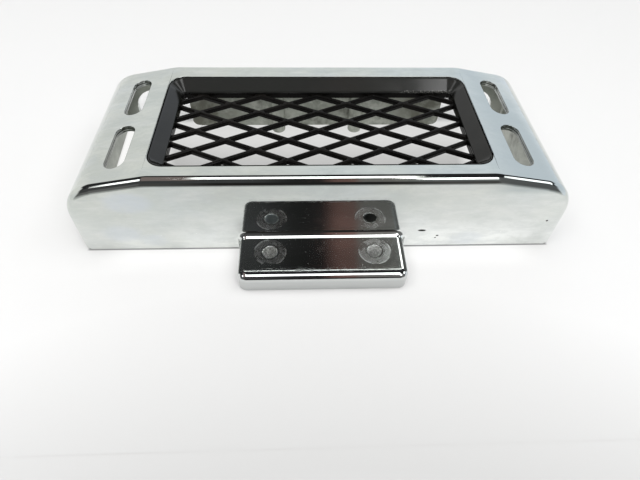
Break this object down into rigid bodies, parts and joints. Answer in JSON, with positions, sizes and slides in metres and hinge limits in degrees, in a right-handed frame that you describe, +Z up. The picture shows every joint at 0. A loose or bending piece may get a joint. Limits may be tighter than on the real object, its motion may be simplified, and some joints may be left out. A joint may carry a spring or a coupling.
{
  "type": "cowl vent",
  "caption": "Chromed cast vent cover with a sunk black lattice window, slotted side facets, a notched rear wall and a bolt-down mounting tab.",
  "frame": {"origin": "centre of the footprint (rim and tab together) on the plane of the rim", "axes": "+X to the cover's right, along its width; +Y from the mounting tab to the notched rear wall; +Z up out of the lattice face. The face falls 4 degrees towards +Y"},
  "size_m": [0.227, 0.1194, 0.0432],
  "materials": {
    "housing_chrome": "polished chrome plate on a casting, faintly wavy and hazed, rough as cast inside",
    "bezel_black": "black, semi-gloss, lightly scuffed",
    "lattice_black": "black, satin",
    "screw_steel": "zinc-plated steel",
    "washer_steel": "zinc-plated steel"
  },
  "bodies": {
    "root": {"housing": "housing_chrome", "bezel": "bezel_black", "lattice_panel": "lattice_black", "screw_front_left": "screw_steel", "washer_front_left": "washer_steel", "screw_mid_left": "screw_steel", "washer_mid_left": "washer_steel", "screw_rear_left": "screw_steel", "washer_rear_left": "washer_steel", "screw_front_right": "screw_steel", "washer_front_right": "washer_steel", "screw_mid_right": "screw_steel", "washer_mid_right": "washer_steel", "screw_rear_right": "screw_steel", "washer_rear_right": "washer_steel", "screw_back_left": "screw_steel", "washer_back_left": "washer_steel", "screw_back_right": "screw_steel", "washer_back_right": "washer_steel"}
  },
  "joints": []
}
